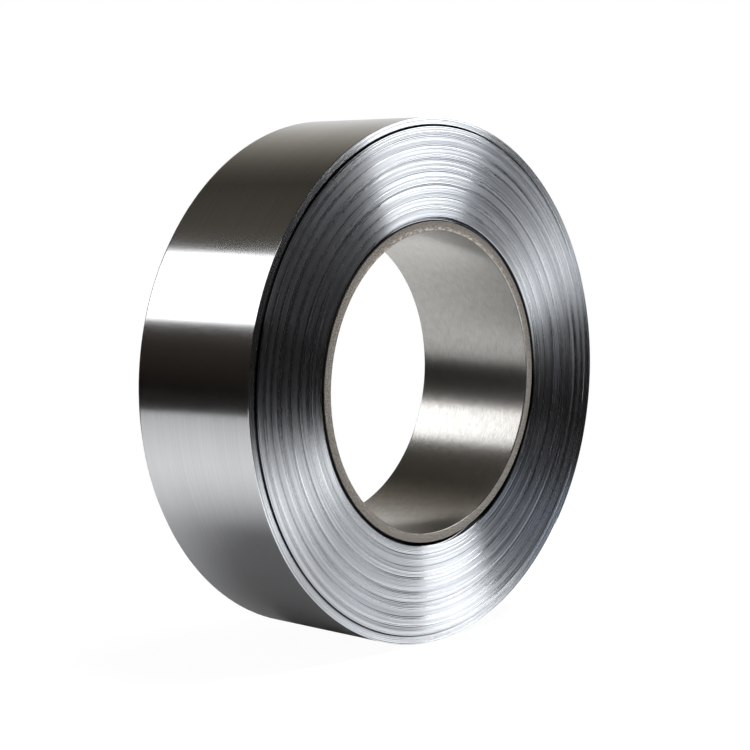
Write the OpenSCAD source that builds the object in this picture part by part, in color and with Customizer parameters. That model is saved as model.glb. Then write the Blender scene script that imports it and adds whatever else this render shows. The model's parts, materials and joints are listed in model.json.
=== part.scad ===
// Steel strip coil wound on a steel core ring, standing on its rim.
// Millimetres, +Z up. The axis runs along Y through the origin, which is the centre of the bore.
// The end that faces -Y is called the front.

/* [Strip] */
// Width of the strip
strip_w = 150; // [80:1:300]
// Gauge of the strip
strip_t = 1.5; // [0.8:0.1:3]

/* [Core ring] */
// Outside diameter of the core ring
core_od = 323.9; // [200:0.1:520]
// Wall of the core ring
core_wall = 9.5; // [4:0.1:16]
// How far each end of the core ring sits inside the outer laps
core_inset = 3.5; // [0.5:0.1:8]
// Chamfer on the core ring's inner edges
core_chamfer = 0.8; // [0.2:0.1:1.5]

/* [Laps] */
// Leader laps that grip the core ring
leader_laps = 2; // [1:1:8]
// How far the leader laps sit inside the outer laps, at each end
leader_inset = 10; // [6:0.5:25]
// Laps of the main winding
main_laps = 60; // [20:1:120]
// Laps that have sprung loose on the outside
outer_laps = 6; // [3:1:10]
// Gap between the main winding and the loose laps
loose_gap = 1.5; // [0.5:0.1:4]
// How deep that gap reaches from each end
loose_gap_depth = 12; // [6:0.5:25]

/* [Lap edges] */
// How far the main winding's last lap stands proud at the front
front_proud = 2.8; // [0.5:0.1:6]
// How far the main winding's first lap is drawn in at the front
front_drawn = 2.9; // [0:0.1:6]
// Laps in a tight group, the first of which is drawn in a little
group_laps = 6; // [3:1:12]
// How far the first lap of a group is drawn in at the front
group_drawn = 1.2; // [0.3:0.1:2]
// How far single laps wander along the axis
lap_wander = 0.6; // [0.1:0.1:1]

/* [Strip tail] */
// Where the strip's outer end lies, in degrees up from +X
tail_angle = -40; // [-180:5:180]

/* [Hidden] */
$fn = 180;

// Radii, counted out from the core ring
core_r = core_od / 2;
bore_r = core_r - core_wall;
leader_r = core_r + leader_laps * strip_t;
main_r = leader_r + main_laps * strip_t;
outer_r = main_r + loose_gap;
coil_r = outer_r + outer_laps * strip_t;

// Half the width of the bands, and a length that passes both ends of every lap
half_w = strip_w / 2;
leader_half_w = half_w - leader_inset;
gap_half_w = half_w - loose_gap_depth;
past_ends = strip_w + 2 * (front_proud + front_drawn + group_drawn + lap_wander);

// Turn from one lap to the next in the wander, so that no two neighbours agree
wander_step = 137.5;

// Along-axis wander of a lap, from nothing to the full wander
function wander(lap) = lap_wander * (1 - sin(lap * wander_step)) / 2;

// A main lap's place along the axis, towards the front: proud outside, drawn in towards the core
function main_shift(lap) =
    front_proud
    - (front_proud + front_drawn) * (main_laps - 1 - lap) / (main_laps - 1)
    - (lap % group_laps == 0 ? group_drawn : 0)
    - (lap == main_laps - 1 ? 0 : wander(lap));

// A band is one ring of the winding's section: inner radius, outer radius, back end, front end
function band(r, t, half, shift) = [r, r + t, shift - half, shift + half];

leader_bands = [
    for (lap = [0 : leader_laps - 1])
        band(core_r + lap * strip_t, strip_t, leader_half_w, -wander(lap))
];
main_bands = [
    for (lap = [0 : main_laps - 1])
        band(leader_r + lap * strip_t, strip_t, half_w, main_shift(lap))
];
gap_band = band(main_r, loose_gap, gap_half_w, 0);
// The last two loose laps share a band, because the strip steps from one to the other at its tail.
// That band reaches one gauge past the coil's radius, and the spiral outline trims it.
outer_bands = [
    for (lap = [0 : outer_laps - 2])
        band(outer_r + lap * strip_t, (lap == outer_laps - 2 ? 3 : 1) * strip_t, half_w, -wander(lap))
];
bands = concat(leader_bands, main_bands, [gap_band], outer_bands);

// Section of the winding: out along the back edges and in along the front edges
module winding_section() {
    last = len(bands) - 1;
    back = [for (b = bands) each [[b[0], b[2]], [b[1], b[2]]]];
    front = [for (n = [last : -1 : 0]) each [[bands[n][1], bands[n][3]], [bands[n][0], bands[n][3]]]];
    polygon(concat(back, front));
}

// Half of a disc: the side with positive or negative y
module half_disc(r, side) {
    intersection() {
        circle(r = r);
        translate([-2 * r, side > 0 ? 0 : -2 * r]) square([4 * r, 2 * r]);
    }
}

// Outline of the last turn: a spiral of two half circles that meet smoothly on one side
// and leave a step of one gauge on the other, where the strip ends
module spiral_outline() {
    rotate(tail_angle) {
        half_disc(coil_r, 1);
        translate([-strip_t / 2, 0]) half_disc(coil_r - strip_t / 2, -1);
    }
}

// Turns a solid made about Z so that its upper end becomes the front
module lay_axis_along_y() {
    rotate([90, 0, 0]) children();
}

// The wound strip: one turned solid with every lap's edge on its ends and the strip's tail on its rim
module strip_winding() {
    color("lightsteelblue")
    lay_axis_along_y()
    intersection() {
        rotate_extrude() winding_section();
        translate([0, 0, -past_ends / 2]) linear_extrude(past_ends) spiral_outline();
    }
}

// The core ring: a short length of steel pipe with its inner edges eased
module core_ring() {
    half = half_w - core_inset;
    color("darkgray")
    lay_axis_along_y()
    rotate_extrude()
    polygon([
        [core_r, -half],
        [core_r, half],
        [bore_r + core_chamfer, half],
        [bore_r, half - core_chamfer],
        [bore_r, core_chamfer - half],
        [bore_r + core_chamfer, -half]
    ]);
}

strip_winding();
core_ring();
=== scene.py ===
"""Narrow bright steel strip wound on a steel core ring, lit as a product picture.

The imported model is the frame. The wound strip and the core ring are made again here with every lap's
edge, the strip's tail, eased edges and steel finishes, in metres, with the coil's axis along Y.
"""
import json
import logging
import math
from dataclasses import dataclass, field
from enum import Enum
from typing import ClassVar

import bmesh
import bpy
import numpy as np
from bpy.types import Material, Node, NodeTree, Object
from mathutils import Matrix, Vector


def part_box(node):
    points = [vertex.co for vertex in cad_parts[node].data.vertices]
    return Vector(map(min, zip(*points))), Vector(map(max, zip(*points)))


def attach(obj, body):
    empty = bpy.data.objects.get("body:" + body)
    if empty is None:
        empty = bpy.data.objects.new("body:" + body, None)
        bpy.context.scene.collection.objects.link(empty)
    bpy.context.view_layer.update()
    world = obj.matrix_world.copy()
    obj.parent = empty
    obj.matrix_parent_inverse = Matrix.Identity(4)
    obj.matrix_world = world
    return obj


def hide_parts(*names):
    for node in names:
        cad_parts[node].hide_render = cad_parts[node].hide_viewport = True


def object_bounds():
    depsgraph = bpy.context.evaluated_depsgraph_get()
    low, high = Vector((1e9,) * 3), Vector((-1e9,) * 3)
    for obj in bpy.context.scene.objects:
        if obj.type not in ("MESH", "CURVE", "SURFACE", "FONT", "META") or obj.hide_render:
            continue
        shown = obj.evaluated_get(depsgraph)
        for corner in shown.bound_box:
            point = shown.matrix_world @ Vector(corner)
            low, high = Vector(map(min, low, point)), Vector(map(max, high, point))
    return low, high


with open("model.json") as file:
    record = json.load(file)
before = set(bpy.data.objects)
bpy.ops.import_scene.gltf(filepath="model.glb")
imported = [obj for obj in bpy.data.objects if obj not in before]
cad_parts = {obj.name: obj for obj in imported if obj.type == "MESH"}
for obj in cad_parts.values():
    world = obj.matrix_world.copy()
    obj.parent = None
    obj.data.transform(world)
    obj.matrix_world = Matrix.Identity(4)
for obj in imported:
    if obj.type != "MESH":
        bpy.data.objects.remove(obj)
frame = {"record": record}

cad_low, cad_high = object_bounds()
log = logging.getLogger("steel_coil")
MM = 0.001
FULL_TURN = 2 * math.pi
# The two colour inputs and the colour output of a mix node, whose names other sockets share.
MIX_FROM, MIX_TO, MIX_OUT = 6, 7, 2
# A quarter turn lays a brushed gloss across the lines of the steel instead of along them.
ACROSS_LINES = 0.25


class Zone(Enum):
    """Which finish a face of a steel piece takes; the value is its material slot."""

    FACE = 0
    EDGE = 1
    COVERED = 2


def hex_to_linear(code: str) -> tuple[float, float, float, float]:
    """Turns an sRGB colour into the linear colour that a shader takes.

    Args:
        code: six hex digits, with or without a leading sign.

    Returns:
        Red, green and blue in linear light, and an alpha of one.
    """
    digits = code.lstrip("#")
    srgb = np.array([int(digits[n:n + 2], 16) for n in (0, 2, 4)]) / 255
    linear = np.where(srgb <= 0.04045, srgb / 12.92, ((srgb + 0.055) / 1.055) ** 2.4)
    return (*(float(part) for part in linear), 1.0)


def add_node(
    tree: NodeTree,
    kind: str,
    settings: dict | None = None,
    values: dict | None = None,
    links: dict | None = None,
) -> Node:
    """Adds a node with its settings, its plain input values and its links.

    Args:
        tree: node tree of a material or of the world.
        kind: Blender's name for the node type.
        settings: properties of the node.
        values: input name or number to plain value.
        links: input name or number to a pair of source node and output name or number.

    Returns:
        The new node.
    """
    node = tree.nodes.new(kind)
    for name, value in (settings or {}).items():
        setattr(node, name, value)
    for key, value in (values or {}).items():
        node.inputs[key].default_value = value
    for key, (source, output) in (links or {}).items():
        tree.links.new(source.outputs[output], node.inputs[key])
    return node


def new_material(name: str) -> tuple[Material, NodeTree]:
    """Makes an empty node material.

    Args:
        name: name of the material.

    Returns:
        The material and its cleared node tree.
    """
    material = bpy.data.materials.new(name)
    material.use_nodes = True
    material.node_tree.nodes.clear()
    return material, material.node_tree


def glow_material(
    name: str, glow: float, colour: str = "FFFFFF", colour_to: str = "FFFFFF", patterned: bool = True
) -> Material:
    """Makes a lit sheet: one glow all over, or a glow and a colour that follow the sheet's own numbers.

    Args:
        name: name of the material.
        glow: how bright it is, with one as white.
        colour: its colour where the sheet's share is nothing.
        colour_to: its colour where the share is one.
        patterned: whether the sheet's own glow sets the brightness; such a sheet isn't used as a lamp.

    Returns:
        The material.
    """
    material, tree = new_material(name)
    share = add_node(tree, "ShaderNodeAttribute", {"attribute_name": "share"})
    tint = add_node(
        tree, "ShaderNodeMix", {"data_type": "RGBA"},
        values={MIX_FROM: hex_to_linear(colour), MIX_TO: hex_to_linear(colour_to)},
        links={"Factor": (share, "Fac")},
    )
    light = add_node(
        tree, "ShaderNodeEmission", values={"Strength": glow}, links={"Color": (tint, MIX_OUT)}
    )
    if patterned:
        own_glow = add_node(tree, "ShaderNodeAttribute", {"attribute_name": "glow"})
        tree.links.new(own_glow.outputs["Fac"], light.inputs["Strength"])
        material.cycles.emission_sampling = "NONE"
    add_node(tree, "ShaderNodeOutputMaterial", links={"Surface": (light, "Emission")})
    return material


def smooth_step(value: np.ndarray) -> np.ndarray:
    """Eases a value from nothing at 0 to one at 1, as 3v squared less 2v cubed."""
    eased = np.clip(value, 0.0, 1.0)
    return eased * eased * (3 - 2 * eased)


def vertex_numbers(points: np.ndarray) -> np.ndarray:
    """Numbers of a grid of points, in the order in which a mesh stores them."""
    return np.arange(points[..., 0].size).reshape(points.shape[:2])


def grid_quads(number: np.ndarray, closed: tuple[int, int] = (0, 0)) -> np.ndarray:
    """Joins neighbours in a grid of vertex numbers to quads.

    Args:
        number: vertex numbers of the grid.
        closed: one instead of nothing where the last row, or the last column, is joined to the first.

    Returns:
        Four vertex numbers for each quad.
    """
    grid = np.pad(number, ((0, closed[0]), (0, closed[1])), mode="wrap")
    return np.stack([grid[:-1, :-1], grid[1:, :-1], grid[1:, 1:], grid[:-1, 1:]], axis=-1).reshape(-1, 4)


def link_mesh(
    name: str,
    points: np.ndarray,
    polygons: list[np.ndarray],
    zones: np.ndarray,
    materials: list[Material],
    flat: int = 0,
) -> Object:
    """Puts points and polygons into a smooth-shaded mesh object at the origin.

    Args:
        name: name of the object.
        points: one row of x, y and z for each vertex, in metres.
        polygons: arrays of vertex numbers, each with one row for each polygon of that many corners.
        zones: material slot of each polygon, in the order of the polygons.
        materials: the materials, in the order of their slots.
        flat: how many polygons at the end of the list are shaded flat.

    Returns:
        The object, linked to the scene.
    """
    sizes = np.concatenate([np.full(len(block), block.shape[1]) for block in polygons])
    corners = np.concatenate([block.ravel() for block in polygons])
    mesh = bpy.data.meshes.new(name)
    mesh.vertices.add(len(points))
    mesh.vertices.foreach_set("co", points.astype(np.float32).ravel())
    mesh.loops.add(len(corners))
    mesh.loops.foreach_set("vertex_index", corners.astype(np.int32))
    mesh.polygons.add(len(sizes))
    mesh.polygons.foreach_set("loop_start", (np.cumsum(sizes) - sizes).astype(np.int32))
    mesh.polygons.foreach_set("material_index", zones.astype(np.int32))
    mesh.polygons.foreach_set("use_smooth", np.arange(len(sizes)) < len(sizes) - flat)
    for material in materials:
        mesh.materials.append(material)
    mesh.update(calc_edges=True)
    piece = bpy.data.objects.new(name, mesh)
    bpy.context.scene.collection.objects.link(piece)
    return piece


def face_outwards(piece: Object) -> None:
    """Turns every face of a closed mesh to point out of it.

    Args:
        piece: object whose mesh is a closed shell.
    """
    work = bmesh.new()
    work.from_mesh(piece.data)
    bmesh.ops.recalc_face_normals(work, faces=work.faces)
    work.to_mesh(piece.data)
    work.free()


def lay_pattern_map(piece: Object, name: str, length: np.ndarray, width: np.ndarray) -> None:
    """Gives a mesh a map that runs along the strip in one direction and across it in the other.

    Args:
        piece: object to map.
        name: name of the map.
        length: metres along the strip, for each vertex.
        width: metres across the strip, for each vertex.
    """
    mesh = piece.data
    corner = np.zeros(len(mesh.loops), np.int32)
    mesh.loops.foreach_get("vertex_index", corner)
    layer = mesh.uv_layers.new(name=name)
    flat = np.stack([length[corner], width[corner]], axis=1).astype(np.float32)
    layer.uv.foreach_set("vector", flat.ravel())


def set_attribute(piece: Object, name: str, values: np.ndarray) -> None:
    """Stores one number for each vertex under a name that a material can read."""
    layer = piece.data.attributes.new(name, "FLOAT", "POINT")
    layer.data.foreach_set("value", values.astype(np.float32))


def drawn_out_marks(
    tree: NodeTree, map_name: str, length: float, width: float, detail: float, rough: float
) -> Node:
    """Lays noise along a piece's own map, drawn out into marks of a given size.

    Args:
        tree: node tree of the material.
        map_name: name of the map.
        length: length of a mark along the map, in metres.
        width: width of a mark across it, in metres.
        detail: how many finer layers the noise has.
        rough: how strong each finer layer is beside the one before.

    Returns:
        The noise.
    """
    place = add_node(tree, "ShaderNodeUVMap", {"uv_map": map_name})
    scaled = add_node(
        tree, "ShaderNodeMapping",
        values={"Scale": (1 / length, 1 / width, 1)},
        links={"Vector": (place, "UV")},
    )
    return add_node(
        tree, "ShaderNodeTexNoise",
        values={"Scale": 1.0, "Detail": detail, "Roughness": rough},
        links={"Vector": (scaled, "Vector")},
    )


def two_tone(
    tree: NodeTree,
    pattern: tuple[Node, str],
    limits: tuple[float, float],
    low: str,
    high: str,
) -> Node:
    """Colours a pattern in shades between two colours.

    Args:
        tree: node tree of the material.
        pattern: node and output of the pattern.
        limits: values of the pattern that get the first and the second colour in full.
        low: colour at the first limit.
        high: colour at the second limit.

    Returns:
        The node of the colour.
    """
    tone = add_node(
        tree, "ShaderNodeMapRange",
        values={"From Min": limits[0], "From Max": limits[1]},
        links={"Value": pattern},
    )
    return add_node(
        tree, "ShaderNodeMix", {"data_type": "RGBA"},
        values={MIX_FROM: hex_to_linear(low), MIX_TO: hex_to_linear(high)},
        links={"Factor": (tone, "Result")},
    )


def brushed_steel(tree: NodeTree, map_name: str, values: dict, links: dict) -> Node:
    """Makes the shader of a steel with fine lines along its map, which spread its gloss across them.

    Args:
        tree: node tree of the material.
        map_name: name of the map that the lines follow.
        values: the shader's other plain values.
        links: the shader's other links.

    Returns:
        The shader.
    """
    tangent = add_node(tree, "ShaderNodeTangent", {"direction_type": "UV_MAP", "uv_map": map_name})
    return add_node(
        tree, "ShaderNodeBsdfPrincipled",
        values={"Metallic": 1.0, "Anisotropic Rotation": ACROSS_LINES, **values},
        links={"Tangent": (tangent, "Tangent"), **links},
    )


class SteelFinish:
    """A finish of a steel piece; each kind names its material and lays out its own shader."""

    material_name: ClassVar[str] = "steel"

    def shader(self, tree: NodeTree) -> Node:
        """Lays out the nodes of the finish and gives back its shader."""
        raise NotImplementedError

    def make(self) -> Material:
        """Builds the material.

        Returns:
            The material.
        """
        material, tree = new_material(self.material_name)
        add_node(tree, "ShaderNodeOutputMaterial", links={"Surface": (self.shader(tree), "BSDF")})
        return material


@dataclass(frozen=True)
class BrightStripFace(SteelFinish):
    """Cold-rolled carbon steel strip, skin-passed bright: mirror bands with fine rolling lines along it."""

    material_name: ClassVar[str] = "cold_rolled_bright_strip"
    steel: str = "D2D3D4"
    steel_dull: str = "C3C4C6"
    tone_limits: tuple[float, float] = (0.3, 0.7)
    roughness_low: float = 0.13
    roughness_high: float = 0.19
    anisotropy: float = 0.75
    # The real lines are about 0.2 mm wide and are drawn wider here so that they show.
    line_width: float = 1.4 * MM
    line_length: float = 260 * MM
    cloud_width: float = 60 * MM
    cloud_length: float = 240 * MM
    cloud_share: float = 0.3

    def shader(self, tree: NodeTree) -> Node:
        """Lays out the finish: rolling lines stretched along the strip shift its colour and roughness.

        Args:
            tree: node tree of the material.

        Returns:
            The shader.
        """
        lines = drawn_out_marks(
            tree, "strip_map", self.line_length, self.line_width, detail=3.0, rough=0.62
        )
        clouds = drawn_out_marks(
            tree, "strip_map", self.cloud_length, self.cloud_width, detail=2.0, rough=0.5
        )
        both = add_node(
            tree, "ShaderNodeMix", {"data_type": "FLOAT"},
            values={"Factor": self.cloud_share},
            links={"A": (lines, "Fac"), "B": (clouds, "Fac")},
        )
        colour = two_tone(tree, (both, "Result"), self.tone_limits, self.steel_dull, self.steel)
        low, high = self.tone_limits
        roughness = add_node(
            tree, "ShaderNodeMapRange",
            values={
                "From Min": low,
                "From Max": high,
                "To Min": self.roughness_high,
                "To Max": self.roughness_low,
            },
            links={"Value": (both, "Result")},
        )
        return brushed_steel(
            tree, "strip_map", {"Anisotropic": self.anisotropy},
            {"Base Color": (colour, MIX_OUT), "Roughness": (roughness, "Result")},
        )


@dataclass(frozen=True)
class SlitStripEdge(SteelFinish):
    """Slit edge of the same strip, sheared and dressed: bluish, each lap its own shade, fanned by light."""

    material_name: ClassVar[str] = "slit_strip_edge"
    steel: str = "D4D7DB"
    steel_dull: str = "BABEC4"
    tone_limits: tuple[float, float] = (0.3, 0.66)
    # Colour of the painted shade in the grooves between laps and in the valleys between groups of laps.
    groove: str = "1C1D20"
    roughness_low: float = 0.16
    roughness_high: float = 0.42
    rub_limits: tuple[float, float] = (0.36, 0.64)
    anisotropy: float = 1.0
    turns_to_change: float = 0.45
    turns_in_band: float = 3.2
    lap_share: float = 0.5
    group_share: float = 0.27
    valley_smooth: float = 0.12
    # How strong the valleys' painted shade is, and the depths over which the grooves' painted shade sets in.
    valley_painted_shade: float = 0.15
    painted_shade_from: float = 0.2 * MM
    painted_shade_to: float = 1.5 * MM

    def lap_marks(
        self, tree: NodeTree, turn: Node, turns: float, detail: float, rough: float
    ) -> Node:
        """Lays noise along the strip, from its inner end to its tail.

        Args:
            tree: node tree of the material.
            turn: node that gives the place on the strip.
            turns: in how many turns the noise changes.
            detail: how many finer layers the noise has.
            rough: how strong each finer layer is beside the one before.

        Returns:
            The noise.
        """
        scaled = add_node(
            tree, "ShaderNodeMath", {"operation": "DIVIDE"}, values={1: turns}, links={0: (turn, "Fac")}
        )
        return add_node(
            tree, "ShaderNodeTexNoise", {"noise_dimensions": "1D"},
            values={"Scale": 1.0, "Detail": detail, "Roughness": rough},
            links={"W": (scaled, "Value")},
        )

    def roughness(
        self, tree: NodeTree, laps: Node, bands: Node, valley: Node
    ) -> Node:
        """Works out the roughness from the laps, from bands of laps and from the groups that they lie in.

        Args:
            tree: node tree of the material.
            laps: noise that differs from lap to lap.
            bands: noise that differs from band to band.
            valley: node that gives how deep in a valley between two groups a place lies.

        Returns:
            The node of the roughness.
        """
        low, high = self.rub_limits
        dressed = add_node(
            tree, "ShaderNodeMix", {"data_type": "FLOAT"},
            values={"Factor": self.lap_share},
            links={"A": (bands, "Fac"), "B": (laps, "Fac")},
        )
        # The middles of the groups stand proud and are rubbed rough; their sides have stayed smooth.
        off_middle = add_node(tree, "ShaderNodeAttribute", {"attribute_name": "off_middle"})
        plateau = add_node(
            tree, "ShaderNodeMath", {"operation": "POWER"}, values={1: 2.0}, links={0: (off_middle, "Fac")}
        )
        rubbed = add_node(
            tree, "ShaderNodeMapRange",
            values={"To Min": low, "To Max": high},
            links={"Value": (plateau, "Value")},
        )
        grouped = add_node(
            tree, "ShaderNodeMix", {"data_type": "FLOAT"},
            values={"Factor": self.group_share},
            links={"A": (dressed, "Result"), "B": (rubbed, "Result")},
        )
        rough = add_node(
            tree, "ShaderNodeMapRange",
            values={
                "From Min": low,
                "From Max": high,
                "To Min": self.roughness_high,
                "To Max": self.roughness_low,
            },
            links={"Value": (grouped, "Result")},
        )
        # Where two groups meet the dressing roll has pressed the edges smoother, so valleys mirror more.
        pressed = add_node(
            tree, "ShaderNodeMapRange",
            values={"To Min": 1.0, "To Max": 1.0 - self.valley_smooth},
            links={"Value": (valley, "Fac")},
        )
        return add_node(
            tree, "ShaderNodeMath", {"operation": "MULTIPLY"},
            links={0: (rough, "Result"), 1: (pressed, "Result")},
        )

    def shader(self, tree: NodeTree) -> Node:
        """Lays out the finish: a shade that drifts along each lap and so differs from lap to lap.

        Args:
            tree: node tree of the material.

        Returns:
            The shader.
        """
        turn = add_node(tree, "ShaderNodeAttribute", {"attribute_name": "turn"})
        valley = add_node(tree, "ShaderNodeAttribute", {"attribute_name": "valley"})
        sunk = add_node(tree, "ShaderNodeAttribute", {"attribute_name": "sunk"})
        laps = self.lap_marks(tree, turn, self.turns_to_change, detail=1.0, rough=0.5)
        bands = self.lap_marks(tree, turn, self.turns_in_band, detail=2.0, rough=0.6)
        colour = two_tone(tree, (laps, "Fac"), self.tone_limits, self.steel_dull, self.steel)
        # Painted shade: the grooves between the laps go dark with their depth below the laps beside them,
        # and the valleys between groups of laps take a thin painted shade; clean is the share left unshaded.
        clean = add_node(
            tree, "ShaderNodeMapRange", {"interpolation_type": "SMOOTHSTEP"},
            values={"From Min": self.painted_shade_from, "From Max": self.painted_shade_to, "To Min": 1.0, "To Max": 0.0},
            links={"Value": (sunk, "Fac")},
        )
        valley_shade = add_node(
            tree, "ShaderNodeMath", {"operation": "MULTIPLY"},
            values={1: self.valley_painted_shade},
            links={0: (valley, "Fac")},
        )
        valley_shaded = add_node(
            tree, "ShaderNodeMix", {"data_type": "RGBA"},
            values={MIX_TO: hex_to_linear(self.groove)},
            links={"Factor": (valley_shade, "Value"), MIX_FROM: (colour, MIX_OUT)},
        )
        groove_shaded = add_node(
            tree, "ShaderNodeMix", {"data_type": "RGBA"},
            values={MIX_FROM: hex_to_linear(self.groove)},
            links={"Factor": (clean, "Result"), MIX_TO: (valley_shaded, MIX_OUT)},
        )
        roughness = self.roughness(tree, laps, bands, valley)
        return brushed_steel(
            tree, "strip_map", {"Anisotropic": self.anisotropy},
            {"Base Color": (groove_shaded, MIX_OUT), "Roughness": (roughness, "Value")},
        )


@dataclass(frozen=True)
class DrawnPipeBore(SteelFinish):
    """Inside of a drawn steel pipe, honed clean: a grainy mirror that softens the bands of light."""

    material_name: ClassVar[str] = "honed_pipe_bore"
    steel: str = "BAB9B6"
    steel_dull: str = "9F9D99"
    tone_limits: tuple[float, float] = (0.34, 0.66)
    roughness: float = 0.26
    anisotropy: float = 0.6
    grain_width: float = 1.1 * MM
    grain_length: float = 9 * MM
    grain_height: float = 0.004 * MM
    mottle: float = 9 * MM
    mottle_share: float = 0.3

    def shader(self, tree: NodeTree) -> Node:
        """Lays out the finish: short grain along the way round in colour and height, over a soft mottle.

        Args:
            tree: node tree of the material.

        Returns:
            The shader.
        """
        grain = drawn_out_marks(
            tree, "ring_map", self.grain_length, self.grain_width, detail=4.0, rough=0.65
        )
        place = add_node(tree, "ShaderNodeTexCoord")
        mottle = add_node(
            tree, "ShaderNodeTexNoise",
            values={"Scale": 1 / self.mottle, "Detail": 3.0, "Roughness": 0.6},
            links={"Vector": (place, "Object")},
        )
        both = add_node(
            tree, "ShaderNodeMix", {"data_type": "FLOAT"},
            values={"Factor": self.mottle_share},
            links={"A": (grain, "Fac"), "B": (mottle, "Fac")},
        )
        colour = two_tone(tree, (both, "Result"), self.tone_limits, self.steel_dull, self.steel)
        bump = add_node(
            tree, "ShaderNodeBump",
            values={"Strength": 1.0, "Distance": self.grain_height},
            links={"Height": (grain, "Fac")},
        )
        return brushed_steel(
            tree, "ring_map", {"Roughness": self.roughness, "Anisotropic": self.anisotropy},
            {"Base Color": (colour, MIX_OUT), "Normal": (bump, "Normal")},
        )


@dataclass(frozen=True)
class SawnPipeEnd(SteelFinish):
    """Sawn end of the pipe, gone dull in store: matte taupe, speckled, with light crumbs of burr inside."""

    material_name: ClassVar[str] = "sawn_pipe_end"
    light: str = "A8A29A"
    dark: str = "2E2A26"
    tone_limits: tuple[float, float] = (0.36, 0.64)
    crumb_colour: str = "DAD1C4"
    crumb_from: float = 0.48
    crumb_to: float = 0.6
    roughness: float = 0.62
    metallic: float = 0.55
    speckle: float = 1.3 * MM
    pit_height: float = 0.05 * MM
    pit_strength: float = 0.6
    crumb_length: float = 5 * MM
    crumb_width: float = 1.2 * MM

    def shader(self, tree: NodeTree) -> Node:
        """Lays out the finish: a fine speckle in colour and pits, and crumbs where the edge is burred.

        Args:
            tree: node tree of the material.

        Returns:
            The shader.
        """
        place = add_node(tree, "ShaderNodeTexCoord")
        speckle = add_node(
            tree, "ShaderNodeTexNoise",
            values={"Scale": 1 / self.speckle, "Detail": 4.0, "Roughness": 0.7},
            links={"Vector": (place, "Object")},
        )
        colour = two_tone(tree, (speckle, "Fac"), self.tone_limits, self.dark, self.light)
        crumbs = drawn_out_marks(
            tree, "ring_map", self.crumb_length, self.crumb_width, detail=3.0, rough=0.6
        )
        crumb_share = add_node(
            tree, "ShaderNodeMapRange",
            values={"From Min": self.crumb_from, "From Max": self.crumb_to},
            links={"Value": (crumbs, "Fac")},
        )
        burred = add_node(tree, "ShaderNodeAttribute", {"attribute_name": "burred"})
        share = add_node(
            tree, "ShaderNodeMath", {"operation": "MULTIPLY"},
            links={0: (crumb_share, "Result"), 1: (burred, "Fac")},
        )
        crumbed = add_node(
            tree, "ShaderNodeMix", {"data_type": "RGBA"},
            values={MIX_TO: hex_to_linear(self.crumb_colour)},
            links={"Factor": (share, "Value"), MIX_FROM: (colour, MIX_OUT)},
        )
        bump = add_node(
            tree, "ShaderNodeBump",
            values={"Strength": self.pit_strength, "Distance": self.pit_height},
            links={"Height": (speckle, "Fac")},
        )
        return add_node(
            tree, "ShaderNodeBsdfPrincipled",
            values={"Metallic": self.metallic, "Roughness": self.roughness},
            links={"Base Color": (crumbed, MIX_OUT), "Normal": (bump, "Normal")},
        )


@dataclass(frozen=True)
class ShadedPipeWall(SteelFinish):
    """Outside of the pipe under the strip, seen only deep in the groove: nearly black and dull, as painted
    shade.
    """

    material_name: ClassVar[str] = "painted_shade_pipe_wall"
    # Near blacks painted as the shade deep in the groove between the ring and the strip.
    shade_dark: str = "25221F"
    shade_light: str = "3A3531"
    roughness: float = 0.6
    metallic: float = 0.2
    patch: float = 6 * MM

    def shader(self, tree: NodeTree) -> Node:
        """Lays out the finish: painted shade in patches of two near blacks.

        Args:
            tree: node tree of the material.

        Returns:
            The shader.
        """
        place = add_node(tree, "ShaderNodeTexCoord")
        patches = add_node(
            tree, "ShaderNodeTexNoise",
            values={"Scale": 1 / self.patch, "Detail": 3.0},
            links={"Vector": (place, "Object")},
        )
        colour = two_tone(tree, (patches, "Fac"), (0.0, 1.0), self.shade_dark, self.shade_light)
        return add_node(
            tree, "ShaderNodeBsdfPrincipled",
            values={"Metallic": self.metallic, "Roughness": self.roughness},
            links={"Base Color": (colour, MIX_OUT)},
        )


@dataclass(frozen=True)
class Wave:
    """One sine of what varies along the strip: its strength, its cycles in a turn and its phase."""

    strength: float
    cycles: float
    phase: float = 0.0

    def at(self, turn: np.ndarray) -> np.ndarray:
        """Value of the sine at places on the strip."""
        return self.strength * np.sin(FULL_TURN * self.cycles * turn + self.phase)


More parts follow.
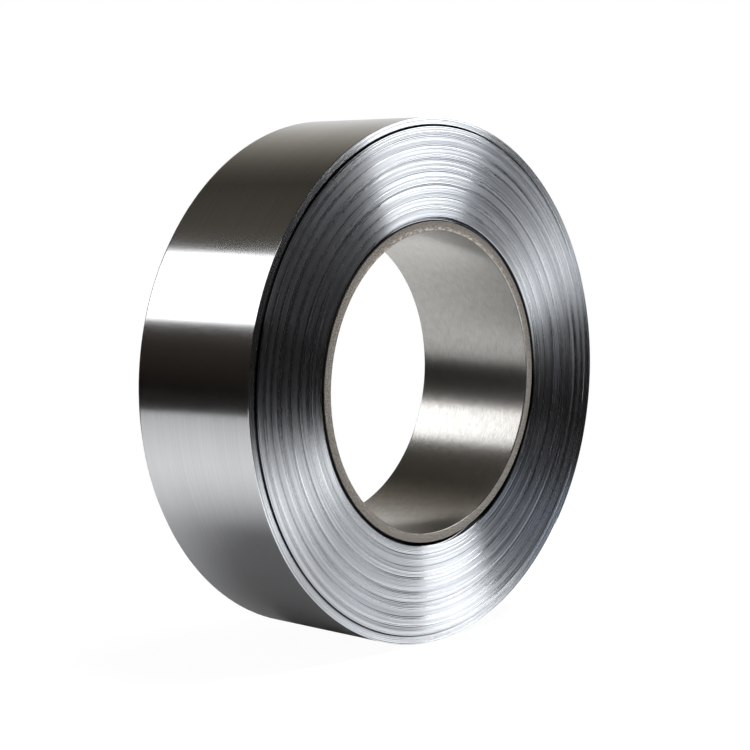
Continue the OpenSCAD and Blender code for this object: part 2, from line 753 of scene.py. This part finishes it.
@dataclass
class WoundStrip:
    """The strip from its leader on the core ring to its tail on the rim, as one closed spiral skin.

    A place on the strip is given in turns from its inner end. Each lap shows four rows of points on each
    end: the foot of the groove inside it, its two shoulders, and the foot of the groove outside it.
    """

    LAP_ROWS: ClassVar[int] = 4
    # Rows of points across the rim at each end, in eases from the edge.
    RIM_EASES: ClassVar[tuple[int, ...]] = (1, 3)

    core_radius: float
    gauge: float = 1.5 * MM
    width: float = 150 * MM
    laps: int = 67
    tail_angle: float = math.radians(-40)
    # The leader grips the core ring; the strip comes off it within the ramp.
    leader_turns: float = 2.08
    leader_ramp: float = 0.12
    leader_inset: float = 10 * MM
    leader_skew: float = 4.5 * MM
    # The loose laps have sprung off the main winding; low on the coil their gap is partly shared out.
    loose_turn: float = 61.94
    loose_ramp: float = 0.12
    loose_gap: float = 1.5 * MM
    loose_gap_depth: float = 12 * MM
    loose_calm: float = 0.5
    shared_turns: float = 3.6
    shared_part: float = 0.66
    low_from: float = 0.1
    low_to: float = 0.7
    open_from: float = 0.24
    open_to: float = 0.54
    # The form of the front end, from drawn in at the core to proud outside, in groups of laps.
    front_proud: float = 2.8 * MM
    front_drawn: float = 2.9 * MM
    edge_droop: float = 1.2 * MM
    droop_turns: float = 1.3
    crown: float = 0.4 * MM
    group_starts: tuple[float, ...] = (2.08, 8.1, 15.9, 23.3, 32.9, 40.3, 49.2, 56.2)
    group_drawn: float = 0.3 * MM
    group_spread: float = 1.15
    valley_depth: float = 0.62
    depth_wave: Wave = Wave(0.38, 1.9 / FULL_TURN, 0.4)
    spread_wave: Wave = Wave(0.35, 2.7 / FULL_TURN)
    # Single laps wander along the axis and lean a little, with a groove between each two.
    lap_wander: float = 0.32 * MM
    wander_middle: float = -0.5
    wander_waves: tuple[Wave, ...] = (Wave(0.30, 0.382), Wave(0.22, 0.271, 1.3), Wave(0.07, 2.37, 0.5))
    lap_tilt: float = 0.03 * MM
    tilt_waves: tuple[Wave, ...] = (Wave(1.0, 0.447, 0.7), Wave(0.3, 1.83))
    slit: float = 0.04 * MM
    groove: float = 0.12 * MM
    group_groove: float = 0.7 * MM
    shoulder: float = 0.14
    # On the laps' own edges the depth painted as shade is held to edge_sunk plus a share of the rest.
    edge_sunk: float = 0.38 * MM
    edge_shade: float = 0.12
    rim_ease: float = 1.6 * MM
    steps: int = 180
    face: BrightStripFace = field(default_factory=BrightStripFace)
    edge: SlitStripEdge = field(default_factory=SlitStripEdge)

    def off_leader(self, turn: np.ndarray) -> np.ndarray:
        """How far a place has come off the leader: nothing on it, one on every later lap."""
        return smooth_step((turn - self.leader_turns) / self.leader_ramp + 0.5)

    def sprung(self, turn: np.ndarray) -> np.ndarray:
        """How far a place has sprung loose: nothing up to the main winding's end, one on the loose laps."""
        return smooth_step((turn - self.loose_turn) / self.loose_ramp + 0.5)

    def height(self, turn: np.ndarray) -> np.ndarray:
        """How high on the coil a place lies: a sine, one at the top and minus one at the bottom."""
        return np.sin(self.tail_angle - FULL_TURN * turn)

    def lift(self, turn: np.ndarray) -> np.ndarray:
        """How far a place has sprung off the laps below it.

        It is nothing up to the loose laps, and the loose gap opens within an eighth of a turn. Low on the
        coil, where its weight presses the laps together, two thirds of the gap are shared out evenly
        among the loose laps.

        Args:
            turn: places on the strip.

        Returns:
            Height in metres.
        """
        sprung = self.sprung(turn)
        shared = np.clip((turn - self.loose_turn) / self.shared_turns, 0, 1)
        low = smooth_step((-self.height(turn) - self.low_from) / (self.low_to - self.low_from))
        return self.loose_gap * (sprung + self.shared_part * low * (shared - sprung))

    def half_width(self, turn: np.ndarray) -> np.ndarray:
        """Half the strip's width: trimmed by the inset on the leader, then full."""
        return self.width / 2 - self.leader_inset * (1 - self.off_leader(turn))

    def off_middle(self, turn: np.ndarray) -> np.ndarray:
        """How far a place lies from the middle of its group: nothing in the middle, one at both sides."""
        starts = np.array([*self.group_starts, self.loose_turn])
        return np.abs(2 * (np.interp(turn, starts, np.arange(len(starts))) % 1.0) - 1)

    def valley(self, turn: np.ndarray) -> np.ndarray:
        """How deep in a valley between two groups a place lies: a bell curve for each valley.

        The curves' depths and widths differ from valley to valley, each by a sine.

        Args:
            turn: places on the strip.

        Returns:
            A share from nothing to about one.
        """
        start = np.array(self.group_starts[1:])[:, None, None]
        depth = self.valley_depth + self.depth_wave.at(start)
        spread = self.group_spread * (1 + self.spread_wave.at(start))
        return (depth * np.exp(-((turn - start) / spread) ** 2)).sum(axis=0)

    def bulge(self, turn: np.ndarray) -> np.ndarray:
        """Smooth form of the front end: each group is crowned, with a soft valley where two groups meet.

        The crown is level in the group's middle and falls as a square towards its sides.

        Args:
            turn: places on the strip, counted on from the lap's own place by the share of its gauge.

        Returns:
            Height in metres, towards the front.
        """
        inside = (turn > self.group_starts[0]) & (turn < self.loose_turn)
        crown = np.where(inside, -self.crown * self.off_middle(turn) ** 2, 0.0)
        return crown - self.group_drawn * self.valley(turn)

    def group_edge(self, turn: np.ndarray) -> np.ndarray:
        """How near a lap's outside is to the start of a group: one on it, nothing half a turn away."""
        start = np.array(self.group_starts)[:, None, None]
        return smooth_step(1 - 2 * np.abs(turn + 1 - start)).max(axis=0)

    def shift(self, turn: np.ndarray) -> np.ndarray:
        """Place of the strip along the axis, towards the front.

        It rises in a straight line from drawn in at the core to proud at the loose laps, droops as a bell
        curve on the last laps and is nothing on the loose laps. The leader is askew by a sine, most to the
        front at the top. All of it wanders as a sum of sines, half as much on the loose laps.

        Args:
            turn: places on the strip.

        Returns:
            Shift in metres.
        """
        first, last = self.leader_turns, self.loose_turn
        main = self.off_leader(turn) * (1 - self.sprung(turn))
        trend = self.front_proud - (self.front_proud + self.front_drawn) * (last - turn) / (last - first)
        trend = trend - self.edge_droop * np.exp(-((last - turn) / self.droop_turns) ** 2)
        skew = (1 - self.off_leader(turn)) * self.leader_skew * self.height(turn)
        calm = 1 - self.loose_calm * smooth_step(turn - last)
        wander = calm * sum(wave.at(turn) for wave in self.wander_waves)
        return main * trend + skew + self.lap_wander * (wander + self.wander_middle)

    def groove_foot(self, reach: np.ndarray, sign: float, turn: np.ndarray) -> np.ndarray:
        """How far out along the axis the groove outside each lap has its foot.

        It lies one groove depth below the lower of the two laps that meet there, deeper where two groups
        meet, and as deep as the loose gap where the next lap has sprung off by more than a quarter of
        it. The last lap has no lap outside it.

        Args:
            reach: how far each lap's edge reaches out along the axis.
            sign: plus one for the front end, minus one for the back end.
            turn: places on the strip.

        Returns:
            Reach of the foot, in metres.
        """
        following = self.half_width(turn + 1) + sign * self.shift(turn + 1)
        following[-1] = reach[-1]
        gap_share = (self.lift(turn + 1) - self.lift(turn)) / self.loose_gap
        open_gap = smooth_step((gap_share - self.open_from) / (self.open_to - self.open_from))
        open_gap[-1] = 0
        lowest = np.minimum(reach, following) + np.minimum(sign * self.bulge(turn + 1), 0.0)
        depth = self.groove + self.group_groove * self.group_edge(turn) + self.loose_gap_depth * open_gap
        return lowest - depth

    def end_rows(self, sign: float, turn: np.ndarray) -> tuple[np.ndarray, np.ndarray]:
        """Rows of points on one end of the coil, from the core outwards.

        Args:
            sign: plus one for the front end, minus one for the back end.
            turn: places on the strip, a row for each lap and a column for each step round.

        Returns:
            Radius and reach along the axis, each with four rows for each lap.
        """
        inner = self.core_radius + self.gauge * turn + self.lift(turn)
        thick = self.gauge - self.slit
        reach = self.half_width(turn) + sign * self.shift(turn)
        foot_out = self.groove_foot(reach, sign, turn)
        foot_in = np.concatenate([reach[:1] - self.groove, foot_out[:-1]])
        tilt = self.lap_tilt * sum(wave.at(turn) for wave in self.tilt_waves)
        inside = reach + sign * self.bulge(turn + self.shoulder) - tilt
        outside = reach + sign * self.bulge(turn + 1 - self.shoulder) + tilt
        shares = (0, self.shoulder, 1 - self.shoulder, 1)
        radius = np.stack([inner + share * thick for share in shares], axis=1)
        # The first lap lies on the core ring all the way round, so no light shows between them.
        radius[0, 0] = self.core_radius
        axial = np.stack([foot_in, inside, outside, foot_out], axis=1)
        columns = turn.shape[1]
        return radius.reshape(-1, columns), axial.reshape(-1, columns)

    def sunk(self, axial: np.ndarray) -> np.ndarray:
        """How far each point of an end lies under the highest lap beside it.

        Args:
            axial: reach along the axis, with four rows for each lap.

        Returns:
            Depth in metres, held on the laps' own edges to what still lets their steel show.
        """
        beside = range(-self.LAP_ROWS, self.LAP_ROWS + 1)
        depth = np.max([np.roll(axial, rows, axis=0) for rows in beside], axis=0) - axial
        shoulders = np.isin(np.arange(len(axial)) % self.LAP_ROWS, (1, 2))[:, None]
        return np.where(shoulders, np.minimum(depth, self.edge_sunk + self.edge_shade * depth), depth)

    def build(self) -> Object:
        """Builds the spiral skin: the two ends' rows, the rim and the wall on the core, carried once round.

        The last column is one lap further out than the first, so each of its laps is joined to the next
        lap of the first column. The two ends of the strip that are left over get their own small faces.

        Returns:
            The wound strip, dressed.
        """
        column = np.arange(self.steps + 1) / self.steps
        turn = np.arange(self.laps)[:, None] + column[None, :]
        front_r, front_y = self.end_rows(1.0, turn)
        back_r, back_y = self.end_rows(-1.0, turn)
        inward = self.rim_ease * np.array(self.RIM_EASES)[:, None]
        rim_front = front_y[-1:] + self.groove - inward
        rim_back = back_y[-1:] + self.groove - inward[::-1]
        lap, rows, rim_rows = self.LAP_ROWS, self.LAP_ROWS * self.laps, 2 * len(inward)
        radius = np.concatenate([front_r, np.repeat(front_r[-1:], rim_rows, axis=0), back_r[::-1]]).T
        axial = np.concatenate([-front_y, -rim_front, rim_back, back_y[::-1]]).T
        row_turn = np.repeat(turn, lap, axis=0)
        turns = np.concatenate([row_turn, np.repeat(turn[-1:], rim_rows, axis=0), row_turn[::-1]]).T
        angle = (self.tail_angle - FULL_TURN * column)[:, None]
        points = np.stack([radius * np.cos(angle), axial, radius * np.sin(angle)], axis=-1)

        number = vertex_numbers(points)
        front = np.arange(rows)
        rim = rows + np.arange(rim_rows)
        back = 2 * rows + rim_rows - 1 - front
        for side in (front, back):
            number[-1, side[:-lap]] = number[0, side[lap:]]
        first, last = number[0], number[-1]
        tail_front, tail_back = (
            np.concatenate([first[side[-1:]], last[side[-lap:]], last[edge], first[edge]])
            for side, edge in ((front, rim[:1]), (back, rim[-1:]))
        )
        tail_middle = np.concatenate([last[rim], first[rim[::-1]]])
        inner_end = np.concatenate([first[front[:lap + 1]], first[back[:lap + 1]][::-1]])
        end_faces = [face[None, :] for face in (inner_end, tail_front, tail_back, tail_middle)]

        row_zone = np.full(len(number[0]), Zone.EDGE.value)
        row_zone[rows - 1:rows + rim_rows] = Zone.FACE.value
        row_zone[-1] = Zone.FACE.value
        zones = np.concatenate([np.tile(row_zone, self.steps), np.full(len(end_faces), Zone.EDGE.value)])

        polygons = [grid_quads(number, (0, 1)), *end_faces]
        corners = np.concatenate([block.ravel() for block in polygons])
        used, renumbered = np.unique(corners, return_inverse=True)
        cuts = np.cumsum([block.size for block in polygons])[:-1]
        polygons = [
            part.reshape(block.shape) for part, block in zip(np.split(renumbered.ravel(), cuts), polygons)
        ]
        materials = [self.face.make(), self.edge.make()]
        kept_points = points.reshape(-1, 3)[used]
        piece = link_mesh("wound_strip", kept_points, polygons, zones, materials, len(end_faces))
        face_outwards(piece)
        kept_turn = turns.ravel()[used]
        length = FULL_TURN * (self.core_radius * kept_turn + self.gauge * kept_turn ** 2 / 2)
        lay_pattern_map(piece, "strip_map", length, (axial + radius).ravel()[used])
        # Depth of each point below the laps beside it, which the slit edge's finish turns into painted shade
        # in the grooves.
        sunk = [self.sunk(front_y), np.zeros((rim_rows, self.steps + 1)), self.sunk(back_y)[::-1]]
        set_attribute(piece, "turn", kept_turn)
        set_attribute(piece, "sunk", np.concatenate(sunk).T.ravel()[used])
        set_attribute(piece, "valley", self.valley(turns).ravel()[used])
        set_attribute(piece, "off_middle", self.off_middle(turns).ravel()[used])
        return piece


@dataclass
class CoreRing:
    """The short pipe that the strip is wound on, turned from one profile with eased and burred edges."""

    outer_radius: float
    bore_radius: float
    half_length: float
    ease: float = 0.3 * MM
    chamfer: float = 0.8 * MM
    burr: float = 0.12 * MM
    # Crumbs of burr reach this far out from the bore, and fade out over the last part of it.
    burr_reach: float = 5.6 * MM
    burr_fade: float = 3.2 * MM
    burr_least: float = 0.25
    burr_spread: float = 0.75
    steps: int = 240
    bore: DrawnPipeBore = field(default_factory=DrawnPipeBore)
    end: SawnPipeEnd = field(default_factory=SawnPipeEnd)
    outside: ShadedPipeWall = field(default_factory=ShadedPipeWall)

    def half_profile(self) -> tuple[np.ndarray, np.ndarray, np.ndarray]:
        """One end's profile, from the outside wall over the end to the bore.

        Returns:
            Radius and depth under the end for each point, and the zone of the face after each point.
        """
        outer, inner, chamfer, ease = self.outer_radius, self.bore_radius, self.chamfer, self.ease
        radius = np.array([
            outer, outer, outer - ease, outer - 2.5 * ease, inner + 6 * chamfer, inner + 3.4 * chamfer,
            inner + 1.25 * chamfer, inner + chamfer, inner + 0.7 * chamfer, inner + 0.25 * chamfer,
            inner, inner,
        ])
        depth = np.array([
            4 * ease, ease, 0.0, 0.0, 0.0, 0.0,
            0.0, -self.burr, -self.burr / 2, 0.45 * chamfer,
            chamfer, 2.2 * chamfer,
        ])
        past_burr = 8
        zone = np.full(len(radius), Zone.EDGE.value)
        zone[0] = Zone.COVERED.value
        zone[past_burr:] = Zone.FACE.value
        return radius, depth, zone

    def burred(self, radius: np.ndarray, angle: np.ndarray) -> np.ndarray:
        """How burred the ends are: most at the inner edge, fading outwards, and heaviest at the top.

        Args:
            radius: radius of each point of the profile.
            angle: angle of each step round, up from +X.

        Returns:
            A share from nothing to one, a row for each step round.
        """
        inside = smooth_step((self.bore_radius + self.burr_reach - radius) / self.burr_fade)
        from_top = 2 * np.arcsin(np.abs(np.sin((angle - math.pi / 2) / 2)))
        top = np.exp(-(from_top / self.burr_spread) ** 2)
        return inside * (self.burr_least + (1 - self.burr_least) * top)

    def build(self) -> Object:
        """Turns the profile once round the axis, front end first, and closes it on itself.

        Returns:
            The core ring, dressed.
        """
        half_r, depth, half_zone = self.half_profile()
        radius = np.concatenate([half_r, half_r[::-1]])
        axial = np.concatenate([depth - self.half_length, (self.half_length - depth)[::-1]])
        zone = np.concatenate([half_zone, half_zone[::-1][1:], [Zone.COVERED.value]])
        angle = (FULL_TURN * np.arange(self.steps) / self.steps)[:, None]
        shape = (self.steps, len(radius))
        points = np.stack(
            [radius * np.cos(angle), np.broadcast_to(axial, shape), radius * np.sin(angle)], axis=-1
        )
        piece = link_mesh(
            "core_pipe", points.reshape(-1, 3), [grid_quads(vertex_numbers(points), (1, 1))],
            np.tile(zone, self.steps), [self.bore.make(), self.end.make(), self.outside.make()],
        )
        face_outwards(piece)
        length = np.broadcast_to(angle * self.bore_radius, shape).ravel()
        lay_pattern_map(piece, "ring_map", length, np.broadcast_to(axial + radius, shape).ravel())
        set_attribute(piece, "burred", self.burred(radius, angle).ravel())
        return piece


@dataclass(frozen=True)
class TentPanel:
    """A lit panel of the studio tent, bent round the coil's axis; angles are in degrees up from +X."""

    name: str
    angle_from: float
    angle_to: float
    y_from: float
    y_to: float
    glow_from: float
    glow_to: float
    eased: bool = False
    colour: str = "FFFFFF"
    colour_to: str = "FFFFFF"

    def shares(self, angles: np.ndarray) -> np.ndarray:
        """How far each row has gone from the first glow to the last: evenly, or eased as a squared sine.

        Args:
            angles: angles of the panel's rows.

        Returns:
            A share from nothing to one for each row.
        """
        if self.eased:
            return np.sin(np.clip(angles, 0, None) / self.angle_to * math.pi / 2) ** 2
        return np.linspace(0, 1, len(angles))


@dataclass(frozen=True)
class FloorLane:
    """A lit lane on the floor cloth; places are metres to the right and in front of the coil's middle."""

    glow: float
    middle: float
    spread: float
    # Places in front: dark up to dark_to, lit from lit_from to lit_to, and dark from dark_from on.
    lit_to: float
    dark_from: float
    dark_to: float = -1.0
    lit_from: float = 0.0
    lean: float = 0.0
    lean_from: float = 0.0

    def light(self, across: np.ndarray, out: np.ndarray) -> np.ndarray:
        """Glow of the lane: a bell curve across it, times an eased step at its far end and at its near end.

        Args:
            across: places to the right.
            out: places in front.

        Returns:
            Glow at each place.
        """
        middle = self.middle + self.lean * np.clip(out - self.lean_from, 0, None)
        bell = np.exp(-((across - middle) / self.spread) ** 2)
        far_end = smooth_step((self.dark_from - out) / (self.dark_from - self.lit_to))
        near_end = smooth_step((out - self.dark_to) / (self.lit_from - self.dark_to))
        return self.glow * bell * far_end * near_end


@dataclass
class Studio:
    """Pale floor, dark tent with lit panels, lamp, world and camera."""

    FLOOR_RINGS: ClassVar[int] = 12
    FLOOR_SPOKES: ClassVar[int] = 96
    TENT_SIDES: ClassVar[int] = 72
    PANEL_ROWS: ClassVar[int] = 25
    PANEL_COLUMNS: ClassVar[int] = 3
    CLOTH_STEPS: ClassVar[int] = 61

    floor_height: float
    floor_x: float = -0.52
    floor_y: float = -0.32
    floor_radius: float = 1.45
    floor_middle: float = 0.029
    floor_colour: str = "D4D4D4"
    floor_white: float = 0.92
    floor_glow: float = 1.05
    tent_radius: float = 2.2
    tent_slack: float = 0.05
    tent_half_length: float = 4.5
    tent_colour: str = "22201E"
    # The cloth that only the steel sees: how far it reaches, its dimmest glow and what lies on it.
    cloth_left: float = -1.6
    cloth_right: float = 2.0
    cloth_front: float = -2.2
    cloth_edge: float = -0.085
    cloth_lift: float = 2 * MM
    cloth_glow: float = 0.015
    near_lane: FloorLane = FloorLane(1.6, 0.09125, 0.13, 0.32, 0.48, lean=0.85, lean_from=0.085)
    far_lane: FloorLane = FloorLane(2.35, 0.06, 0.22, 0.9, 1.6, 0.3, 0.55, lean=0.75, lean_from=0.5)
    right_lane: FloorLane = FloorLane(1.3, 0.6, 0.25, 0.25, 0.6)
    right_colour: str = "DCE6F6"
    # The patch at the left: dark from left_edge on to the right, and from left_dark on in front.
    left_glow: float = 1.05
    left_edge: float = 0.25
    left_ease: float = 0.4
    left_dark: float = 1.0
    left_fade: float = 0.45
    lamp_watts: float = 118.0
    lamp_size: float = 1.4
    lamp_place: tuple[float, float, float] = (0.5, -0.65, 2.1)
    world_diffuse: float = 0.25
    # The camera's place, fitted to the outlines in the photograph.
    azimuth: float = -0.840813
    elevation: float = 0.0939981
    distance: float = 1.8684
    slide_right: float = 0.0071
    slide_up: float = -0.003
    focal_px: float = 1808.0
    frame_px: float = 750.0
    sensor_mm: float = 36.0
    softbox_centre: tuple[float, float, float] = (1.345, -1.287, 0.962)
    softbox_outline: tuple[tuple[float, float], ...] = (
        (0.13, -0.85), (0.36, -0.1), (0.38, 0.85), (-0.95, 0.85), (-0.95, 0.15), (-0.78, 0.03),
        (-0.6, -0.13), (-0.43, -0.32), (-0.29, -0.55), (-0.2, -0.85),
    )
    softbox_glow: float = 3.5
    panels: tuple[TentPanel, ...] = (
        TentPanel("back_wall_panel", -7, 88, 1.0, 4.4, 0.95, 0.06, True, "FDFEFF", "FFF3DE"),
        TentPanel("low_wall_panel", 0.3, 7.0, -1.4, -0.25, 1.5, 1.5, False, "F3F8FF", "F3F8FF"),
        TentPanel("right_wall_panel", 8, 70, -0.6, 1.0, 0.2, 0.2),
        TentPanel("front_left_panel", 96, 150, -4.4, -1.4, 0.05, 0.3),
        TentPanel("front_wall_panel", 10, 96, -4.4, -3.0, 0.16, 0.08),
        TentPanel("ceiling_panel", 89, 123, 0.6, 4.4, 0.06, 0.10, False, "FFF3DE", "FFF3DE"),
        TentPanel("strip_softbox_near", 125.2, 155.4, 0.6, 1.85, 1.6, 1.6),
        TentPanel("strip_softbox_far", 125.2, 155.4, 1.85, 4.4, 4.2, 4.2),
        TentPanel("left_wall_panel", 155.4, 186, 0.6, 4.4, 0.05, 0.006, False, "FFE8D6", "FFE8D6"),
    )

    def floor(self) -> None:
        """Builds the floor: a disc of rings and spokes, pale, and whiter to the camera than to the steel."""
        spread = np.linspace(self.floor_middle, self.floor_radius, self.FLOOR_RINGS)[:, None]
        angle = np.linspace(0, FULL_TURN, self.FLOOR_SPOKES + 1)[None, :-1]
        x = self.floor_x + spread * np.cos(angle)
        y = self.floor_y + spread * np.sin(angle)
        points = np.stack([x, y, np.full(x.shape, self.floor_height)], axis=-1)
        number = vertex_numbers(points)
        quads = grid_quads(number, (0, 1))
        material, tree = new_material("pale_floor")
        diffuse = add_node(tree, "ShaderNodeBsdfDiffuse", values={"Color": hex_to_linear(self.floor_colour)})
        white = add_node(tree, "ShaderNodeEmission", values={"Strength": self.floor_glow})
        path = add_node(tree, "ShaderNodeLightPath")
        share = add_node(
            tree, "ShaderNodeMath", {"operation": "MULTIPLY"},
            values={1: self.floor_white},
            links={0: (path, "Is Camera Ray")},
        )
        mixed = add_node(
            tree, "ShaderNodeMixShader",
            links={0: (share, "Value"), 1: (diffuse, "BSDF"), 2: (white, "Emission")},
        )
        add_node(tree, "ShaderNodeOutputMaterial", links={"Surface": (mixed, "Shader")})
        zones = np.zeros(len(quads) + 1)
        floor = link_mesh("studio_floor", points.reshape(-1, 3), [quads, number[:1]], zones, [material])

    def hang_sheet(
        self, name: str, points: np.ndarray, polygons: np.ndarray, material: Material
    ) -> Object:
        """Builds a sheet that only the steel sees.

        Args:
            name: name of the object.
            points: its points, in metres.
            polygons: vertex numbers, a row for each polygon.
            material: what it is made of.

        Returns:
            The sheet.
        """
        sheet = link_mesh(name, points.reshape(-1, 3), [polygons], np.zeros(len(polygons)), [material])
        sheet.visible_camera = False
        sheet.visible_diffuse = False
        sheet.visible_shadow = False
        return sheet

    def bent_sheet(
        self, name: str, angles: np.ndarray, places: np.ndarray, radius: float, material: Material
    ) -> Object:
        """Builds a sheet of a cylinder about the coil's axis that only the steel sees.

        Args:
            name: name of the object.
            angles: angles of its rows, in degrees.
            places: places of its columns along Y.
            radius: radius of the cylinder.
            material: what it is made of.

        Returns:
            The sheet.
        """
        along, turn = np.meshgrid(places, np.radians(angles))
        points = np.stack([radius * np.cos(turn), along, radius * np.sin(turn)], axis=-1)
        return self.hang_sheet(name, points, grid_quads(vertex_numbers(points)), material)

    def tent(self) -> None:
        """Builds the dark tent, a cylinder with two flat ends, and the lit panels on its inside."""
        cloth = glow_material("tent_cloth", 1.0, self.tent_colour, patterned=False)
        around = np.linspace(-180, 180, self.TENT_SIDES + 1)
        half, radius = self.tent_half_length, self.tent_radius + self.tent_slack
        self.bent_sheet("tent_cloth", around, np.array([-half, half]), radius, cloth)
        turn = np.radians(around[:-1])
        for name, end in (("tent_front", -half), ("tent_back", half)):
            rim = np.stack([radius * np.cos(turn), np.full(turn.shape, end), radius * np.sin(turn)], axis=1)
            self.hang_sheet(name, rim, np.arange(len(rim))[None, :], cloth)
        for panel in self.panels:
            varied = panel.glow_from != panel.glow_to
            material = glow_material(panel.name, panel.glow_from, panel.colour, panel.colour_to, varied)
            angles = np.linspace(panel.angle_from, panel.angle_to, self.PANEL_ROWS)
            places = np.linspace(panel.y_from, panel.y_to, self.PANEL_COLUMNS)
            shares = panel.shares(angles)
            glows = panel.glow_from + (panel.glow_to - panel.glow_from) * shares
            sheet = self.bent_sheet(panel.name, angles, places, self.tent_radius, material)
            set_attribute(sheet, "share", np.repeat(shares, len(places)))
            set_attribute(sheet, "glow", np.repeat(glows, len(places)))

    def floor_cloth(self) -> None:
        """Lays a cloth on the floor before the coil that only the steel sees, so its end keeps dark fans.

        Its glow is the sum of three lanes and a patch: a narrow lane beside the coil, a wide lane further
        out that bends to the right, dim floor at the right, and at the left an eased step across times an
        eased step along.
        """
        material = glow_material("floor_cloth", 1.0, colour_to=self.right_colour)
        across, away = np.meshgrid(
            np.linspace(self.cloth_left, self.cloth_right, self.CLOTH_STEPS),
            np.linspace(self.cloth_front, self.cloth_edge, self.CLOTH_STEPS),
        )
        level = np.full(across.shape, self.floor_height + self.cloth_lift)
        points = np.stack([across, away, level], axis=-1)
        cloth = self.hang_sheet("floor_cloth", points, grid_quads(vertex_numbers(points).T), material)
        near = self.near_lane.light(across, -away)
        far = self.far_lane.light(across, -away)
        right = self.right_lane.light(across, -away)
        left = smooth_step((self.left_edge - across) / self.left_ease)
        left = self.left_glow * left * smooth_step((self.left_dark + away) / self.left_fade)
        glows = self.cloth_glow + near + far + left + right
        set_attribute(cloth, "glow", glows.ravel())
        set_attribute(cloth, "share", (right / glows).ravel())

    def softbox(self) -> None:
        """Hangs a flat softbox that faces the coil and that only the steel sees.

        The corners of its outline are metres to the left and up from its centre, seen from the coil.
        """
        material = glow_material("front_softbox", self.softbox_glow, patterned=False)
        towards = -Vector(self.softbox_centre).normalized()
        side = Vector((0, 0, 1)).cross(towards).normalized()
        rise = towards.cross(side)
        corners = np.array(self.softbox_centre) + np.array(self.softbox_outline) @ np.array([side, rise])
        self.hang_sheet("front_softbox", corners, np.arange(len(corners))[None, :], material)

    def lamp(self) -> None:
        """Hangs a wide soft lamp over the coil that lights the floor and isn't seen in the steel."""
        light = bpy.data.lights.new("overhead_lamp", "AREA")
        light.shape = "DISK"
        light.size = self.lamp_size
        light.energy = self.lamp_watts
        lamp = bpy.data.objects.new("overhead_lamp", light)
        lamp.location = self.lamp_place
        lamp.rotation_mode = "QUATERNION"
        lamp.rotation_quaternion = Vector(self.lamp_place).to_track_quat("Z", "Y")
        lamp.visible_glossy = False
        lamp.visible_camera = False
        bpy.context.scene.collection.objects.link(lamp)

    def world(self) -> None:
        """Makes the world white to the camera and in reflections, and a soft grey light elsewhere."""
        world = bpy.data.worlds.new("studio_white")
        world.use_nodes = True
        tree = world.node_tree
        tree.nodes.clear()
        path = add_node(tree, "ShaderNodeLightPath")
        seen = add_node(
            tree, "ShaderNodeMath", {"operation": "MAXIMUM"},
            links={0: (path, "Is Camera Ray"), 1: (path, "Is Glossy Ray")},
        )
        shown = add_node(
            tree, "ShaderNodeMath", {"operation": "MAXIMUM"},
            links={0: (seen, "Value"), 1: (path, "Is Transmission Ray")},
        )
        strength = add_node(
            tree, "ShaderNodeMapRange",
            values={"To Min": self.world_diffuse, "To Max": 1.0},
            links={"Value": (shown, "Value")},
        )
        sky = add_node(
            tree, "ShaderNodeBackground",
            values={"Color": hex_to_linear("FFFFFF")},
            links={"Strength": (strength, "Result")},
        )
        add_node(tree, "ShaderNodeOutputWorld", links={"Surface": (sky, "Background")})
        bpy.context.scene.world = world

    def camera(self) -> None:
        """Sets the camera where the photograph was taken from."""
        turned = self.azimuth
        level = math.cos(self.elevation)
        back = Vector((math.sin(turned) * level, -math.cos(turned) * level, math.sin(self.elevation)))
        right = Vector((math.cos(turned), math.sin(turned), 0))
        up = back.cross(right)
        lens = bpy.data.cameras.new("photo_camera")
        lens.sensor_width = self.sensor_mm
        lens.lens = self.sensor_mm * self.focal_px / self.frame_px
        camera = bpy.data.objects.new("photo_camera", lens)
        place = back * self.distance - right * self.slide_right - up * self.slide_up
        camera.matrix_world = Matrix.Translation(place) @ Matrix((right, up, back)).transposed().to_4x4()
        bpy.context.scene.collection.objects.link(camera)
        bpy.context.scene.camera = camera

    def build(self) -> None:
        """Builds the whole studio."""
        self.camera()
        self.floor()
        self.tent()
        self.floor_cloth()
        self.softbox()
        self.lamp()
        self.world()


def write_sizes() -> None:
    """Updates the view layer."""
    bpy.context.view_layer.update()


def main() -> None:
    """Builds the wound strip, the core ring and the studio in order."""
    logging.basicConfig(level=logging.INFO)
    ring_low, ring_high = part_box("core_ring")
    bore = next(mount for mount in frame["record"]["mounts"] if mount["name"] == "bore")

    strip = WoundStrip(core_radius=ring_high.x).build()
    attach(strip, "root")
    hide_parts("strip_winding")
    log.info("%s: %d faces", strip.name, len(strip.data.polygons))

    ring = CoreRing(ring_high.x, bore["dims"]["r_mm"] * MM, (ring_high.y - ring_low.y) / 2).build()
    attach(ring, "root")
    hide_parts("core_ring")
    log.info("%s: %d faces", ring.name, len(ring.data.polygons))

    Studio(floor_height=cad_low.z).build()
    bpy.context.scene.view_settings.view_transform = "Standard"
    write_sizes()
    log.info("studio and camera set")


if __name__ == "__main__":
    main()
